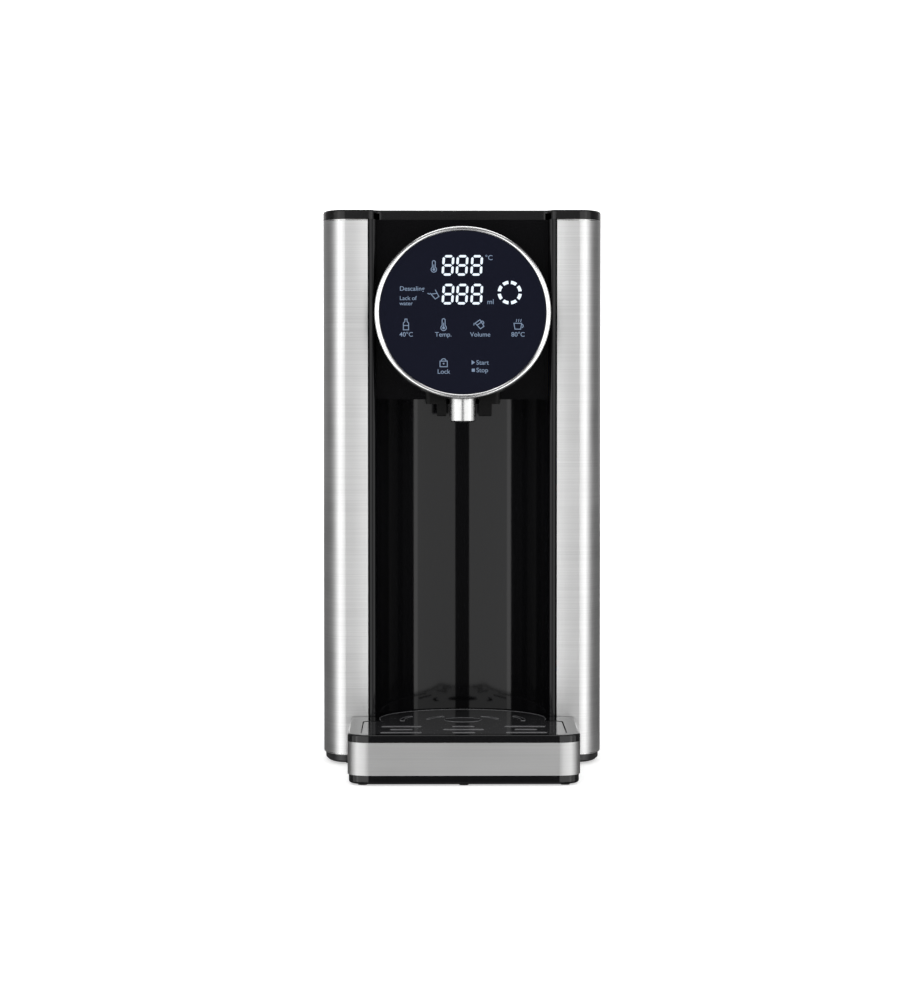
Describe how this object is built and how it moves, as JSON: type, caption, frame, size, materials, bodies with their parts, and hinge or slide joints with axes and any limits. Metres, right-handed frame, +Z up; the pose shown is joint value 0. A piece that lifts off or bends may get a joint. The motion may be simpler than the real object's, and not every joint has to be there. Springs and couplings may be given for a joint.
{
  "type": "countertop water dispenser",
  "caption": "Countertop hot water dispenser with a tilted round touch display, nozzle over a half-round cup bay, pull-out drip tray and a lift-off rear water tank.",
  "frame": {"origin": "middle of the footprint, on the worktop", "axes": "+Z up, -Y towards the user (nozzle and drip tray), +X to the right seen from the front"},
  "size_m": [0.1916, 0.305, 0.379],
  "materials": {
    "brushed_steel": "brushed",
    "polished_steel": "polished",
    "gloss_black": "gloss",
    "satin_black": "satin",
    "dark_glass": "gloss",
    "clear_plastic": "clear",
    "rubber": "matte",
    "silicone": "satin",
    "white_plastic": "satin",
    "float_red": "satin",
    "plain_steel": "satin",
    "brass": "satin",
    "circuit_board": "satin",
    "component_black": "matte"
  },
  "bodies": {
    "housing": {"base_feet": "rubber", "base_pan": "satin_black", "base_screws": "plain_steel", "bay_wall": "satin_black", "cord_gland": "satin_black", "cup_seal": "rubber", "display_bezel": "polished_steel", "display_board": "circuit_board", "display_glass": "dark_glass", "display_housing": "gloss_black", "head_front_panel": "gloss_black", "heater_caps": "white_plastic", "heater_clips": "plain_steel", "heater_element": "plain_steel", "heater_tube": "plain_steel", "inlet_hose": "silicone", "led_module": "white_plastic", "left_side_panel": "brushed_steel", "level_sensor": "satin_black", "niche_liner": "gloss_black", "niche_roof": "gloss_black", "nozzle": "polished_steel", "nozzle_guard": "satin_black", "nozzle_hose": "silicone", "outlet_hose": "silicone", "panel_brackets": "satin_black", "power_board": "circuit_board", "power_components": "component_black", "pump_axle": "plain_steel", "pump_cover": "white_plastic", "pump_hose": "silicone", "pump_housing": "white_plastic", "pump_motor": "satin_black", "pump_mount": "rubber", "right_side_panel": "brushed_steel", "rocker_housing": "satin_black", "steam_chamber": "white_plastic", "tank_shelf": "satin_black", "temp_sensor": "brass", "thermal_cutout": "plain_steel", "top_cover": "gloss_black", "touch_springs": "plain_steel"},
    "water_tank": {"water_tank": "clear_plastic", "tank_handle": "satin_black", "lid_hinge_pin": "plain_steel", "valve_housing": "white_plastic", "valve_guide": "white_plastic", "tank_filter": "satin_black", "float_guide": "clear_plastic"},
    "tank_lid": {"tank_lid": "gloss_black"},
    "tank_float": {"tank_float": "float_red"},
    "tank_valve": {"tank_valve": "white_plastic", "valve_seal": "rubber", "valve_spring": "plain_steel"},
    "drip_tray": {"tray_tub": "gloss_black", "tray_band": "brushed_steel", "tray_feet": "rubber"},
    "drip_plate": {"drip_plate": "gloss_black"},
    "pump_impeller": {"pump_impeller": "white_plastic"},
    "power_rocker": {"power_rocker": "satin_black"}
  },
  "joints": [
    {"name": "tank_lift", "type": "slide", "parent": "housing", "child": "water_tank", "axis": [0, 0, 1], "range_m": [0, 0.35]},
    {"name": "tank_lid_hinge", "type": "hinge", "parent": "water_tank", "child": "tank_lid", "pos_m": [0, 0.1501, 0.3746], "axis": [-1, 0, 0], "range_deg": [0, 100]},
    {"name": "float_slide", "type": "slide", "parent": "water_tank", "child": "tank_float", "axis": [0, 0, 1], "range_m": [0, 0.015]},
    {"name": "valve_slide", "type": "slide", "parent": "water_tank", "child": "tank_valve", "axis": [0, 0, 1], "range_m": [0, 0.002], "stiffness_N_per_m": 150, "springref_m": -0.006, "deforming": ["valve_spring"]},
    {"name": "tray_slide", "type": "slide", "parent": "housing", "child": "drip_tray", "axis": [0, -1, 0], "range_m": [0, 0.15]},
    {"name": "plate_lift", "type": "slide", "parent": "drip_tray", "child": "drip_plate", "axis": [0, 0, 1], "range_m": [0, 0.06]},
    {"name": "impeller_spin", "type": "hinge", "parent": "housing", "child": "pump_impeller", "pos_m": [0, 0.058, 0.033], "axis": [0, 1, 0], "continuous": true},
    {"name": "power_switch", "type": "hinge", "parent": "housing", "child": "power_rocker", "pos_m": [0.055, 0.1461, 0.026], "axis": [0, 0, 1], "range_deg": [-16, 0]}
  ]
}
